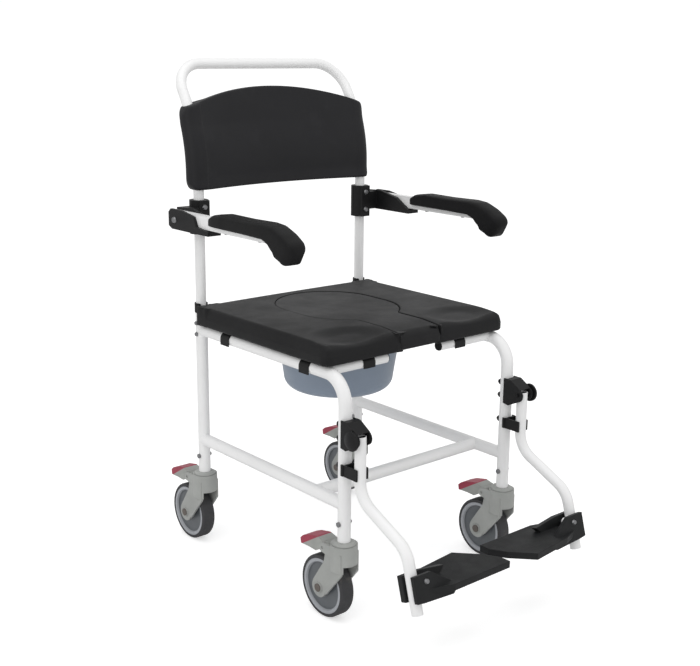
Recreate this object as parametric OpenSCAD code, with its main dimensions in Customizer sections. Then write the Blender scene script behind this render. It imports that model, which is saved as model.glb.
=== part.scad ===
// Wheeled commode chair.
// Origin: on the floor, below the middle of the whole chair.
// +Z is up, -Y is the way the occupant faces.
// Node names take left and right as seen by someone standing in front: left is -X.

/* [Frame] */
// Outer diameter of the frame tube
tube_d = 25.4; // [24:0.1:27]
// Wall thickness of every tube
tube_wall = 1.6; // [1.2:0.1:2]
// Distance between the centres of the left and right legs
leg_span = 440; // [430:5:470]
// Distance between the centres of the front and rear legs
leg_reach = 474; // [460:2:500]
// Height of the open lower ends of the legs
leg_foot_z = 170; // [168:0.5:174]
// Height of the centre of the seat rails
seat_rail_z = 488.5; // [480:0.5:500]
// Height of the centre of the lower rails
low_rail_z = 243; // [235:1:260]
// Centreline radius of the bend from front leg to seat rail
rail_bend_r = 52; // [50:1:65]
// Distance of the lower crossbar behind the front legs
crossbar_back = 84; // [70:1:110]
// Length of the front stub tubes, from the leg plane inwards
stub_len = 148; // [140:1:160]
// Outer diameter of the front stub tubes
stub_d = 20; // [19:0.5:22]

/* [Backrest] */
// Outer diameter of the backrest tube
post_d = 22; // [21:0.1:22.1]
// Height where the posts bend backwards
kink_z = 906; // [890:1:920]
// Height of the centre of the push bar
bar_z = 1037; // [1020:1:1060]
// Distance of the push bar behind the posts
bar_back = 87; // [80:1:95]
// Height of the lower edge of the back panel
panel_z = 785; // [780:1:800]
// Height of the panel's upper edge at its sides
panel_side_z = 950; // [940:1:955]
// Rise of the arched upper edge at the middle
panel_arch = 41; // [30:1:50]

/* [Seat] */
// Width of the seat pad
seat_w = 480; // [470:2:484]
// Height of the underside of the seat pad
seat_z = 503.5; // [503.5:0.5:504]
// Thickness of the seat pad
seat_t = 41.5; // [38:0.5:46]
// Distance from the middle of the legs to the front edge of the pad
seat_front = 205; // [200:1:208]
// Distance from the middle of the legs to the rear edge of the pad
seat_back = 229; // [226:0.5:232]
// Half width of the round part of the opening
hole_rx = 115; // [108:1:118]
// Distance of the opening's centre behind the middle of the chair
hole_y = 52; // [48:1:56]
// Half width of the opening's tongue at the front
tongue_rx = 56; // [50:1:60]

/* [Commode pan] */
// Outer radius of the bowl just under its rim
pan_r = 129; // [124:1:132]
// Height of the underside of the bowl
pan_z = 369; // [365:1:375]
// Distance of the bowl's centre behind the middle of the chair
pan_y = 46; // [42:1:52]

/* [Armrests] */
// Distance of the centre of each armrest from the middle
arm_x = 270; // [270:0.5:271]
// Height of the armrest pivot
arm_pivot_z = 729; // [725:1:735]
// Width of the padded top
arm_pad_w = 47; // [42:1:47]

/* [Footrests] */
// Diameter of the hanger tube
hanger_d = 22.2; // [21:0.1:22.2]
// Distance of the hanger tube in front of the front leg
hanger_out = 44; // [43:0.5:46]
// Height of the hanger pivot
hanger_pivot_z = 384.5; // [384:0.5:386]
// Height of the top of the footplates
footplate_z = 146; // [140:1:150]

/* [Casters] */
// Wheel diameter
wheel_d = 125; // [123:1:126]
// Width of the tyre
tyre_w = 31; // [28:1:32]
// Distance of the axle behind the swivel axis
trail = 48; // [46:1:48]

/* [Hidden] */
$fn = 64;

eps = 0.01;
skin = 0.1;
lap = 0.4;
run_gap = 0.05;
rest_gap = 0.5;

white = "whitesmoke";
black = [0.13, 0.13, 0.14];
pad_black = [0.25, 0.25, 0.26];
steel = "silver";

leg_x = leg_span / 2;
leg_y = leg_reach / 2;
middle_shift = 62.5;
tube_r = tube_d / 2;
bore_r = tube_r - tube_wall;
post_r = post_d / 2;
hanger_r = hanger_d / 2;
leg_top_z = seat_rail_z + 37.5;
// The rear crossbar sits above the seat rails, so that the pan slides out below it.
rear_bar_z = seat_rail_z + 10;
stub_r = stub_d / 2;
stub_y = -leg_y + rail_bend_r + 3;
stub_z = seat_rail_z + 2.5;
stub_end_x = leg_x - stub_len;
bolt_r = 3;
bolt_hole_r = 3.1;
head_r = 5.5;
head_t = 3.5;

// Moves the chair from its legs' own middle to the middle of the whole chair.
module placed() {
  translate([0, middle_shift, 0]) children();
}

// ---------- vectors and tube paths ----------

function unit(v) = v / norm(v);
function turn_at(p, i) = acos(unit(p[i] - p[i - 1]) * unit(p[i + 1] - p[i]));
function setback(p, i, r) = (i == 0 || i == len(p) - 1) ? 0 : r * tan(turn_at(p, i) / 2);

// Straight round bar between two points; a wall above zero makes it a tube.
module bar(a, b, r, wall = 0) {
  d = b - a;
  translate(a)
    rotate([0, acos(d[2] / norm(d)), atan2(d[1], d[0])])
      linear_extrude(height = norm(d))
        ring(r, wall);
}

module ring(r, wall) {
  difference() {
    circle(r);
    if (wall > 0) circle(r - wall);
  }
}

// Round elbow at corner i of the path p.
module elbow(p, i, bend, r, wall = 0) {
  d_in = unit(p[i] - p[i - 1]);
  d_out = unit(p[i + 1] - p[i]);
  turn = turn_at(p, i);
  side = unit(d_out - (d_out * d_in) * d_in);
  axis = cross(-side, d_in);
  c = p[i] - d_in * bend * tan(turn / 2) + side * bend;
  multmatrix([
    [-side[0], d_in[0], axis[0], c[0]],
    [-side[1], d_in[1], axis[1], c[1]],
    [-side[2], d_in[2], axis[2], c[2]],
    [0, 0, 0, 1]])
    rotate_extrude(angle = turn)
      translate([bend, 0])
        ring(r, wall);
}

// Round bar or tube that follows the points of p and turns with the given bend radius.
// Its straight runs are a hair thinner than the elbows and reach a little way into them.
module bent_bar(p, bend, r, wall = 0) {
  last = len(p) - 2;
  for (i = [0 : last]) {
    d = unit(p[i + 1] - p[i]);
    a = p[i] + d * (setback(p, i, bend) - (i > 0 ? lap : 0));
    b = p[i + 1] - d * (setback(p, i + 1, bend) - (i < last ? lap : 0));
    bar(a, b, r - skin, wall > 0 ? wall - 2 * skin : 0);
  }
  for (i = [1 : 1 : last]) elbow(p, i, bend, r, wall);
}

// Bolt along +Z from the origin: domed head below, nut above.
module bolt(grip, r = bolt_r, head = head_r, nut = head_r) {
  translate([0, 0, -head_t])
    cylinder(h = grip + 2 * head_t, r = r);
  translate([0, 0, -head_t])
    cylinder(h = head_t, r1 = head * 0.72, r2 = head);
  translate([0, 0, grip])
    cylinder(h = head_t, r = nut);
}

// Children at the left (-1) and right (1) side of the chair.
module both_sides() {
  for (s = [-1, 1]) mirror([s < 0 ? 1 : 0, 0, 0]) children();
}

module at_side(s) {
  mirror([s < 0 ? 1 : 0, 0, 0]) children();
}

// ---------- frame ----------

rail_path = [
  [leg_x, -leg_y, leg_foot_z],
  [leg_x, -leg_y, seat_rail_z],
  [leg_x, leg_y, seat_rail_z]];

// Tubes of one side frame: the bent front leg and seat rail, the rear leg and the lower rail.
module side_frame(s) {
  color(white)
    at_side(s)
      difference() {
        union() {
          bar([leg_x, leg_y, leg_foot_z], [leg_x, leg_y, leg_top_z], tube_r, tube_wall);
          difference() {
            bent_bar(rail_path, rail_bend_r, tube_r, tube_wall);
            bar([leg_x, leg_y, leg_foot_z], [leg_x, leg_y, leg_top_z + 1], tube_r);
          }
          difference() {
            bar([leg_x, -leg_y, low_rail_z], [leg_x, leg_y, low_rail_z], tube_r, tube_wall);
            for (y = [-leg_y, leg_y])
              bar([leg_x, y, leg_foot_z], [leg_x, y, seat_rail_z - rail_bend_r], tube_r);
          }
        }
        for (y = [-leg_y, leg_y])
          bar([leg_x - tube_d, y, stem_bolt_z], [leg_x + tube_d, y, stem_bolt_z], bolt_hole_r);
        for (z = post_bolt_z)
          bar([leg_x - tube_d, leg_y, z], [leg_x + tube_d, leg_y, z], bolt_hole_r);
        for (z = footrest_bolt_z)
          bar([leg_x, -leg_y - tube_d, z], [leg_x, -leg_y + tube_d, z], bolt_hole_r);
      }
}

// Tube along X between two x positions, coped to fit the tubes it is welded to.
module cross_tube(x0, x1, y, z, r = tube_r) {
  difference() {
    bar([x0, y, z], [x1, y, z], r);
    bar([x0 - 1, y, z], [x1 + 1, y, z], r - tube_wall);
    children();
  }
}

module lower_crossbar() {
  y = -leg_y + crossbar_back;
  color(white)
    cross_tube(-leg_x, leg_x, y, low_rail_z)
      for (x = [-leg_x, leg_x])
        bar([x, -leg_y, low_rail_z], [x, leg_y, low_rail_z], tube_r);
}

module rear_crossbar() {
  color(white)
    cross_tube(-leg_x, leg_x, leg_y, rear_bar_z)
      for (x = [-leg_x, leg_x]) {
        bar([x, leg_y, low_rail_z], [x, leg_y, leg_top_z + 10], tube_r);
        bar([x, 0, seat_rail_z], [x, leg_y, seat_rail_z], tube_r);
      }
}

module front_stubs() {
  color(white)
    both_sides()
      cross_tube(stub_end_x, leg_x, stub_y, stub_z, stub_r)
        bent_bar(rail_path, rail_bend_r, tube_r);
}

module stub_end_caps() {
  cap_t = 2.5;
  plug_len = 14;
  color(black)
    both_sides()
      translate([stub_end_x, stub_y, stub_z])
        rotate([0, 90, 0]) {
          translate([0, 0, -cap_t])
            cylinder(h = cap_t, r1 = stub_r - 1, r2 = stub_r);
          cylinder(h = plug_len, r = stub_r - tube_wall);
        }
}

// ---------- backrest ----------

post_foot_z = 390;
post_bolt_z = [rear_bar_z - 18.5, rear_bar_z + 5.5];
bar_bend_r = 66;
kink_bend_r = 290;

// Half of the bent backrest tube: post, backward bend, corner and half the push bar.
module backrest_half(r, wall) {
  rise = unit([0, bar_back, bar_z - kink_z]);
  run = norm([bar_back, bar_z - kink_z]);
  lower = [
    [leg_x, leg_y, post_foot_z],
    [leg_x, leg_y, kink_z],
    [leg_x, leg_y, kink_z] + rise * (run - bar_bend_r + lap)];
  upper = [
    [leg_x, leg_y, kink_z],
    [leg_x, leg_y + bar_back, bar_z],
    [0, leg_y + bar_back, bar_z]];
  bent_bar(lower, kink_bend_r, r, wall);
  elbow(upper, 1, bar_bend_r, r, wall);
}

module backrest_frame() {
  bar_half = leg_x - bar_bend_r + lap;
  color(white)
    difference() {
      union() {
        both_sides() backrest_half(post_r, tube_wall);
        bar([-bar_half, leg_y + bar_back, bar_z], [bar_half, leg_y + bar_back, bar_z],
          post_r - skin, tube_wall - 2 * skin);
      }
      both_sides() {
        for (z = post_bolt_z)
          bar([leg_x - tube_d, leg_y, z], [leg_x + tube_d, leg_y, z], bolt_hole_r);
        for (z = arm_bolt_z)
          bar([leg_x, leg_y - tube_d, z], [leg_x, leg_y + tube_d, z], bolt_hole_r);
      }
    }
}

module backrest_bolts() {
  color(steel)
    both_sides()
      for (z = post_bolt_z)
        translate([leg_x + tube_r, leg_y, z])
          rotate([0, -90, 0])
            bolt(tube_d, head = 5, nut = 5);
}

// Snap clip around each post, open to the front.
module rear_post_clips() {
  clip_z = 527;
  clip_h = 20;
  clip_r = post_r + 3;
  clip_mouth = 17;
  color(black)
    both_sides()
      translate([leg_x, leg_y, clip_z])
        difference() {
          cylinder(h = clip_h, r = clip_r);
          translate([0, 0, -1])
            cylinder(h = clip_h + 2, r = post_r + eps);
          translate([-clip_mouth / 2, -clip_r - 1, -1])
            cube([clip_mouth, clip_r + 1, clip_h + 2]);
        }
}

panel_lean = 8.9;
panel_sleeve_r = 21;
panel_t = 13;
panel_dish = 22;
panel_face_r = (leg_x * leg_x + panel_dish * panel_dish) / (2 * panel_dish);

// Front view of the panel, extruded towards the back.
module panel_outline() {
  half = leg_x + panel_sleeve_r;
  arch_r = (half * half + panel_arch * panel_arch) / (2 * panel_arch);
  rotate([90, 0, 0])
    translate([0, 0, -leg_y - 100])
      linear_extrude(height = 200)
        intersection() {
          translate([-half - 1, panel_z])
            square([2 * half + 2, panel_side_z - panel_z + panel_arch + 1]);
          translate([0, panel_side_z + panel_arch - arch_r])
            circle(arch_r, $fn = 180);
        }
}

module backrest_panel() {
  color(black)
    intersection() {
      panel_outline();
      difference() {
        union() {
          both_sides() {
            bent_bar([
              [leg_x, leg_y, panel_z - 20],
              [leg_x, leg_y, kink_z],
              [leg_x, leg_y + bar_back, bar_z]], kink_bend_r, panel_sleeve_r);
          }
          translate([0, leg_y, panel_z])
            rotate([-panel_lean, 0, 0])
              translate([0, panel_dish - panel_face_r - 8, -30])
                intersection() {
                  difference() {
                    cylinder(h = 290, r = panel_face_r + panel_t, $fn = 180);
                    translate([0, 0, -1])
                      cylinder(h = 292, r = panel_face_r, $fn = 180);
                  }
                  translate([-leg_x, 0, 0])
                    cube([2 * leg_x, 2 * panel_face_r, 290]);
                }
        }
        both_sides() backrest_half(post_r + run_gap, 0);
      }
    }
}

// ---------- armrests ----------

arm_bolt_z = [711, 751];
arm_pivot_y = 230;
arm_tube_w = 16;
arm_z0 = 721;
arm_z1 = 747;
arm_droop = 30;
arm_knee_y = -95;
arm_nose = 62;
cheek_gap = rest_gap;
cheek_in0 = arm_x - arm_tube_w / 2 - cheek_gap - 8;
cheek_in1 = arm_x - arm_tube_w / 2 - cheek_gap;
cheek_out0 = arm_x + arm_tube_w / 2 + cheek_gap;
cheek_out1 = cheek_out0 + 6;
arm_bolt_r = 4;
arm_nut_r = 7;

// Extrudes a (y, z) outline along X between two x positions.
module along_x(x0, x1) {
  translate([x0, 0, 0])
    rotate([90, 0, 90])
      linear_extrude(height = x1 - x0)
        children();
}

module armrest_bracket() {
  sleeve_z = 695;
  sleeve_h = 70;
  sleeve_r = 20;
  difference() {
    union() {
      translate([leg_x, leg_y, sleeve_z])
        cylinder(h = sleeve_h, r = sleeve_r);
      // Flat boss in front of the post, under the bolt heads.
      translate([leg_x - 12, leg_y - sleeve_r - 2, sleeve_z])
        cube([24, sleeve_r, sleeve_h]);
      // Web from the sleeve to the inner cheek.
      along_x(leg_x + 8, cheek_in1)
        polygon([[216, 711], [256, 711], [256, 751], [216, 751]]);
      along_x(cheek_in0, cheek_in1)
        polygon([[112, 710], [256, 710], [256, 751], [205, 754], [150, 742], [112, 719]]);
      along_x(cheek_out0, cheek_out1) {
        polygon([[112, 710], [240, 710], [252, 716], [252, 744], [244, 751],
          [205, 751], [160, 743], [150, 724], [112, 719]]);
      }
      // Shelf that carries the arm when it is down.
      along_x(cheek_in0, cheek_out1)
        polygon([[108, 710], [196, 710], [196, arm_z0], [108, arm_z0 - 2]]);
    }
    translate([leg_x, leg_y, sleeve_z - 1])
      cylinder(h = sleeve_h + 2, r = post_r + eps);
    for (z = arm_bolt_z)
      bar([leg_x, leg_y - 60, z], [leg_x, leg_y + 60, z], bolt_hole_r);
    bar([leg_x, arm_pivot_y, arm_pivot_z], [arm_x + 60, arm_pivot_y, arm_pivot_z], arm_bolt_r + run_gap);
    // Pocket for the nut of the pivot bolt.
    bar([cheek_in0 - head_t - run_gap, arm_pivot_y, arm_pivot_z],
      [cheek_in0 + run_gap, arm_pivot_y, arm_pivot_z], arm_nut_r + run_gap);
    // Room for the arm tube's rear end.
    along_x(cheek_in1, cheek_out0)
      translate([arm_pivot_y, arm_pivot_z])
        circle(24);
    // Split of the clamp sleeve.
    translate([leg_x - sleeve_r - 1, leg_y - 1, sleeve_z - 1])
      cube([sleeve_r, 2, sleeve_h + 2]);
  }
}

module armrest_brackets() {
  color(black) both_sides() armrest_bracket();
}

module armrest_bracket_bolts() {
  color(steel)
    both_sides()
      for (z = arm_bolt_z)
        translate([leg_x, leg_y - 22, z])
          rotate([-90, 0, 0])
            bolt(42, head = 6, nut = 6);
}

// Side view of the flat-sided arm tube, drooping at its front end. A positive inset lowers its
// height and a negative one raises it; both lengthen it.
module arm_profile(inset) {
  y_rear = arm_pivot_y + 12;
  half = tan(arm_droop / 2) * (arm_z1 - arm_z0) / 2;
  mid = (arm_z0 + arm_z1) / 2;
  h = (arm_z1 - arm_z0) / 2 - inset;
  k = tan(arm_droop / 2) * h;
  end = [arm_knee_y - arm_nose * cos(arm_droop), mid - arm_nose * sin(arm_droop)];
  n = [sin(arm_droop), -cos(arm_droop)] * h;
  polygon([
    [y_rear + abs(inset), mid - h],
    [arm_knee_y + k, mid - h],
    end + n - abs(inset) * [cos(arm_droop), sin(arm_droop)],
    end - n - abs(inset) * [cos(arm_droop), sin(arm_droop)],
    [arm_knee_y - k, mid + h],
    [y_rear + abs(inset), mid + h]]);
}

module arm_tube_solid(inset, w) {
  along_x(arm_x - w / 2, arm_x + w / 2) arm_profile(inset);
}

arm_screw_y = [64, -47];

module armrest_tube(s) {
  color(white)
    at_side(s)
      difference() {
        arm_tube_solid(0, arm_tube_w);
        arm_tube_solid(tube_wall, arm_tube_w - 2 * tube_wall);
        bar([arm_x - 20, arm_pivot_y, arm_pivot_z], [arm_x + 20, arm_pivot_y, arm_pivot_z],
          arm_bolt_r + run_gap);
        for (y = arm_screw_y)
          bar([arm_x, y, arm_z0 - 5], [arm_x, y, arm_z1 + 5], 2.1);
      }
}

// Simple closed body of the padded top, with a channel over the arm tube.
module armrest_pad(s) {
  color(pad_black)
    at_side(s)
      difference() {
        along_x(arm_x - arm_pad_w / 2, arm_x + arm_pad_w / 2)
          polygon([[106, 731], [106, 748], [90, 755], [66, 759], [0, 758], [-80, 759.5],
            [-104, 756], [-150, 733], [-163, 722], [-163, 713], [-152, 707], [-138, 709],
            [-112, 722], [-84, 731]]);
        arm_tube_solid(-eps, arm_tube_w + 2 * eps);
        for (y = arm_screw_y)
          bar([arm_x, y, arm_z0], [arm_x, y, arm_z1 + 7], 2.1);
      }
}

module armrest_pivot(s) {
  span = cheek_out1 - cheek_in0;
  color(steel)
    at_side(s)
      translate([cheek_out1, arm_pivot_y, arm_pivot_z])
        rotate([0, -90, 0])
          bolt(span, r = arm_bolt_r, head = arm_nut_r, nut = arm_nut_r);
}

module armrest_screws(s) {
  color(steel)
    at_side(s)
      for (y = arm_screw_y) {
        bar([arm_x, y, arm_z0 - 1], [arm_x, y, arm_z1 + 6.5], 2);
        bar([arm_x, y, arm_z0 - 2.5], [arm_x, y, arm_z0], 4);
      }
}

// ---------- seat ----------

hole_ry = 143;
lip = 10;
seat_split_z = seat_z + 17;
cover_gap = 0.8;

// Keyhole outline of the seat opening, open at the front; grow widens it.
module keyhole(grow) {
  intersection() {
    union() {
      translate([0, hole_y])
        intersection() {
          circle_pair(hole_rx + grow, hole_ry + grow);
          square([4 * hole_rx, 4 * hole_ry], center = true);
        }
      translate([-tongue_rx - grow, -seat_front - 20])
        square([2 * (tongue_rx + grow), seat_front + 20]);
    }
    translate([-seat_w, -seat_front - 20])
      square([2 * seat_w, 2 * seat_w]);
  }
}

// Oval made of two half circles with a straight middle.
module circle_pair(rx, ry) {
  for (s = [-1, 1]) translate([0, s * (ry - rx)]) circle(rx);
  square([2 * rx, 2 * (ry - rx)], center = true);
}

module rounded_plan(w, y0, y1, r) {
  for (x = [-w / 2 + r, w / 2 - r])
    for (y = [y0 + r, y1 - r])
      translate([x, y]) circle(r);
  translate([-w / 2 + r, y0]) square([w - 2 * r, y1 - y0]);
  translate([-w / 2, y0 + r]) square([w, y1 - y0 - 2 * r]);
}

module seat_pad() {
  crown = 6;
  corner_r = 16;
  notch_r = post_r + 4;
  color(pad_black)
    difference() {
      union() {
        translate([0, 0, seat_z])
          linear_extrude(height = seat_t)
            rounded_plan(seat_w - 2 * crown, -seat_front + crown, seat_back - crown, corner_r - 2);
        translate([0, 0, seat_z + crown])
          linear_extrude(height = seat_t - 2 * crown)
            rounded_plan(seat_w, -seat_front, seat_back, corner_r);
      }
      // Notches around the backrest posts and their clips.
      both_sides()
        translate([leg_x, leg_y, seat_z - 1])
          cylinder(h = seat_t + 2, r = notch_r);
      translate([0, 0, seat_split_z])
        linear_extrude(height = seat_t)
          keyhole(0);
      translate([0, 0, seat_z - 1])
        linear_extrude(height = seat_t)
          keyhole(-lip);
      pan_rail_screw_sites()
        translate([0, 0, -1]) cylinder(h = 13.5, r = 2.1);
    }
}

module seat_cover() {
  color(pad_black)
    intersection() {
      union() {
        translate([0, 0, seat_split_z])
          linear_extrude(height = seat_t - 18)
            keyhole(-cover_gap);
        translate([0, 0, seat_z + 2])
          linear_extrude(height = seat_split_z - seat_z)
            keyhole(-lip - 1);
      }
      translate([-seat_w / 2, -seat_front, 0])
        cube([seat_w, seat_front + seat_back, 2 * seat_z]);
    }
}

clip_wall = 1.8;
clip_len = 29;

// Saddle over a tube along Y, open downwards; rise is the height of the seat above the tube's centre.
module saddle_clip(r_in, rise) {
  r = r_in + clip_wall;
  drop = r_in - 0.7;
  rotate([90, 0, 0])
    translate([0, 0, -clip_len / 2])
      difference() {
        union() {
          cylinder(h = clip_len, r = r);
          translate([-r, -drop, 0])
            cube([2 * r, drop, clip_len]);
          translate([-8, 0, 0])
            cube([16, rise - eps, clip_len]);
        }
        translate([0, 0, -1])
          cylinder(h = clip_len + 2, r = r_in + run_gap);
        translate([-r_in - run_gap, -2 * drop, -1])
          cube([2 * (r_in + run_gap), 2 * drop, clip_len + 2]);
      }
}

module seat_clips() {
  color(black)
    both_sides() {
      for (y = [-131, 131])
        translate([leg_x, y, seat_rail_z]) saddle_clip(tube_r, seat_z - seat_rail_z);
      translate([123, stub_y, stub_z])
        rotate([0, 0, 90]) saddle_clip(stub_r, seat_z - stub_z);
    }
}

// ---------- commode pan and its rails ----------

pan_rim_z = 471;
pan_rim_t = 3.5;
pan_rim_r = pan_r + 12;
pan_wall = 2.6;
rail_x = pan_rim_r + 1;
rail_y0 = -60;
rail_y1 = 214;
rail_t = 2;

module pan_rail_screw_sites() {
  both_sides()
    for (y = [rail_y0 + 30, rail_y1 - 30])
      translate([rail_x + 9, y, seat_z]) children();
}

// Z-shaped guide rails under the seat; the pan's rim rides on their inner flanges.
module pan_rails() {
  color(white)
    both_sides()
      difference() {
        union() {
          translate([rail_x, rail_y0, pan_rim_z - rail_t])
            cube([rail_t, rail_y1 - rail_y0, seat_z - pan_rim_z + rail_t]);
          translate([rail_x, rail_y0, seat_z - rail_t])
            cube([18, rail_y1 - rail_y0, rail_t]);
          translate([rail_x - 9, rail_y0, pan_rim_z - rail_t])
            cube([9 + rail_t, rail_y1 - rail_y0, rail_t]);
        }
        for (y = [rail_y0 + 30, rail_y1 - 30])
          translate([rail_x + 9, y, seat_z - rail_t - 1])
            cylinder(h = rail_t + 2, r = 2.1);
      }
}

module pan_rail_screws() {
  color(steel)
    pan_rail_screw_sites() {
      translate([0, 0, -rail_t - 2.5]) cylinder(h = 2.5, r = 4);
      translate([0, 0, -rail_t - 1]) cylinder(h = 14, r = 2);
    }
}

// Bowl turned from its wall outline, with a flat rim and a rounded foot.
module commode_pan() {
  floor_r = 90;
  foot_r = 27;
  bulge_r = floor_r + foot_r;
  color([0.48, 0.53, 0.58])
    translate([0, pan_y, 0]) {
      rotate_extrude($fn = 128)
        difference() {
          union() {
            pan_section(0, floor_r, bulge_r, foot_r);
            translate([pan_r - 8, pan_rim_z]) square([pan_rim_r - pan_r + 8, pan_rim_t]);
          }
          pan_section(pan_wall, floor_r, bulge_r, foot_r);
        }
      // Grip tab at the rear.
      translate([-24, pan_rim_r - 6, pan_rim_z])
        cube([48, 24, pan_rim_t]);
    }
}

module pan_section(inset, floor_r, bulge_r, foot_r) {
  top = pan_rim_z + pan_rim_t + (inset > 0 ? 1 : 0);
  intersection() {
    union() {
      translate([floor_r, pan_z + foot_r]) circle(foot_r - inset);
      translate([0, pan_z + inset]) square([floor_r, foot_r]);
      polygon([[0, pan_z + foot_r], [bulge_r - inset, pan_z + foot_r],
        [pan_r - inset, top], [0, top]]);
    }
    translate([0, pan_z]) square([pan_r, top - pan_z]);
  }
}

// ---------- footrests ----------

hanger_y = -leg_y - hanger_out;
footrest_bolt_z = [398.5, 370.5, 318];
bracket_in = 13.2;
bracket_out = 16;
bracket_web_y = -leg_y - tube_r - eps;
web_t = 3.5;
pivot_r = 4;

module footrest_bracket() {
  difference() {
    translate([leg_x, 0, 0]) {
      difference() {
        along_x(-bracket_out, bracket_out)
          union() {
            polygon([[-leg_y - 6, 413], [-leg_y - 6, 360], [-leg_y - 20, 357.5],
              [hanger_y - 9, hanger_pivot_z - 11], [hanger_y - 7, 397.4], [-leg_y - 25, 413]]);
            translate([hanger_y, hanger_pivot_z]) circle(14);
          }
        // Channel for the hanger, closed by the web and by the sloping roof.
        along_x(-bracket_in, bracket_in)
          polygon([[bracket_web_y - web_t, 300], [bracket_web_y - web_t, 411.4],
            [-leg_y - 25, 411.4], [hanger_y - 5.8, 396.2], [hanger_y - 30, 396.2],
            [hanger_y - 30, 300]]);
        // The cheeks wrap the front half of the leg.
        along_x(-bracket_in, bracket_in)
          polygon([[bracket_web_y, 300], [bracket_web_y, 420], [-leg_y, 420], [-leg_y, 300]]);
      }
    }
    bar([leg_x - 30, hanger_y, hanger_pivot_z], [leg_x + 30, hanger_y, hanger_pivot_z],
      pivot_r + run_gap);
    for (z = [footrest_bolt_z[0], footrest_bolt_z[1]])
      bar([leg_x, bracket_web_y + 1, z], [leg_x, bracket_web_y - 10, z], bolt_hole_r);
  }
}

module footrest_brackets() {
  color(black) both_sides() footrest_bracket();
}

// Saddle on the front of the leg; the hanger rests between its cheeks.
module footrest_saddles() {
  z0 = 306;
  h = 22;
  half = hanger_r + 0.4;
  color(black)
    both_sides()
      translate([leg_x, 0, z0])
        difference() {
          union() {
            translate([-half - 3, hanger_y - 6, 0])
              cube([2 * half + 6, bracket_web_y - hanger_y + 6, h]);
            // Lips beside the leg.
            translate([-16, bracket_web_y, 0])
              cube([32, 6, h]);
          }
          translate([-half, hanger_y - 7, -1])
            cube([2 * half, bracket_web_y - web_t - hanger_y + 7, h + 2]);
          translate([-13.2, bracket_web_y, -1])
            cube([26.4, 8, h + 2]);
          translate([0, 0, footrest_bolt_z[2] - z0])
            rotate([90, 0, 0])
              cylinder(h = 400, r = bolt_hole_r);
        }
}

module footrest_bracket_bolts() {
  color(black)
    both_sides()
      for (z = footrest_bolt_z)
        translate([leg_x, bracket_web_y - web_t, z])
          rotate([-90, 0, 0]) {
            bolt(tube_d + web_t, head = 5, nut = 6.5);
            translate([0, 0, tube_d + web_t + head_t])
              cylinder(h = 4, r1 = 6, r2 = 4);
          }
}

// Corners of the hanger: vertical, then sloping forwards, then steeply down.
hanger_knee = [leg_x, hanger_y, 270.5];
hanger_shin = [leg_x, -408, 211];
hanger_foot = [leg_x, -440, 99];
hanger_lean = atan2(hanger_shin[1] - hanger_foot[1], hanger_shin[2] - hanger_foot[2]);
hinge_z = footplate_z + 9;
hinge_y = hanger_shin[1] - (hanger_shin[2] - hinge_z) * tan(hanger_lean);
hinge_x = leg_x - 16;
lug_r = 8.5;
plate_bolt_r = 3.5;
plate_nut_r = 6.5;
fork_gap = hanger_r + 0.7;

// Puts children at the footplate hinge, with local Y along its axis and Z up the tube.
module at_hinge() {
  translate([hinge_x, hinge_y, hinge_z])
    rotate([-hanger_lean, 0, 0])
      children();
}

module footrest_hanger(s) {
  top = [leg_x, hanger_y, hanger_pivot_z + 5.5];
  color(white)
    at_side(s)
      difference() {
        union() {
          bent_bar([top, hanger_knee, hanger_shin, hanger_foot], 52, hanger_r, tube_wall);
          // Lug beside the tube for the footplate's hinge bolt.
          difference() {
            at_hinge() {
              rotate([90, 0, 0])
                translate([0, 0, -4])
                  cylinder(h = 8, r = lug_r);
              translate([0, -4, -lug_r])
                cube([12, 8, 2 * lug_r]);
            }
            bar(hanger_shin, hanger_foot, hanger_r - 0.4);
          }
        }
        bar([leg_x - 30, hanger_y, hanger_pivot_z], [leg_x + 30, hanger_y, hanger_pivot_z],
          pivot_r + run_gap);
        at_hinge()
          rotate([90, 0, 0])
            translate([0, 0, -20])
              cylinder(h = 40, r = plate_bolt_r + run_gap);
      }
}

// Mushroom hand knob and its threaded pin, along the hanger's pivot.
module footrest_knob(s) {
  knob_x = leg_x + bracket_out + 2;
  color(black)
    at_side(s)
      translate([0, hanger_y, hanger_pivot_z]) {
        translate([leg_x - bracket_out - 3, 0, 0])
          rotate([0, 90, 0])
            cylinder(h = 2 * bracket_out + 6, r = pivot_r);
        translate([knob_x - 1.5, 0, 0])
          rotate([0, 90, 0])
            cylinder(h = 4, r = 11);
        translate([knob_x + 2.5, 0, 0])
          rotate([0, 90, 0])
            rotate_extrude()
              intersection() {
                square([18.5, 10]);
                union() {
                  square([18.5, 4]);
                  translate([0, -32]) circle(40);
                }
              }
      }
}

// Plan of a footplate: one straight long side and one long side cut back to the tip.
// cut is +1 when the cut-back side faces the rear, -1 when it faces the front.
module footplate_plan(cut) {
  mid_y = -420;
  pts = [[hinge_x - 4.4 + 8.6, -26], [150, -43], [4, -42], [4, -20], [22, 12], [62, 54],
    [164, 42], [hinge_x + 4.2, 26]];
  polygon([for (p = pts) [p[0], mid_y + cut * p[1]]]);
}

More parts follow.
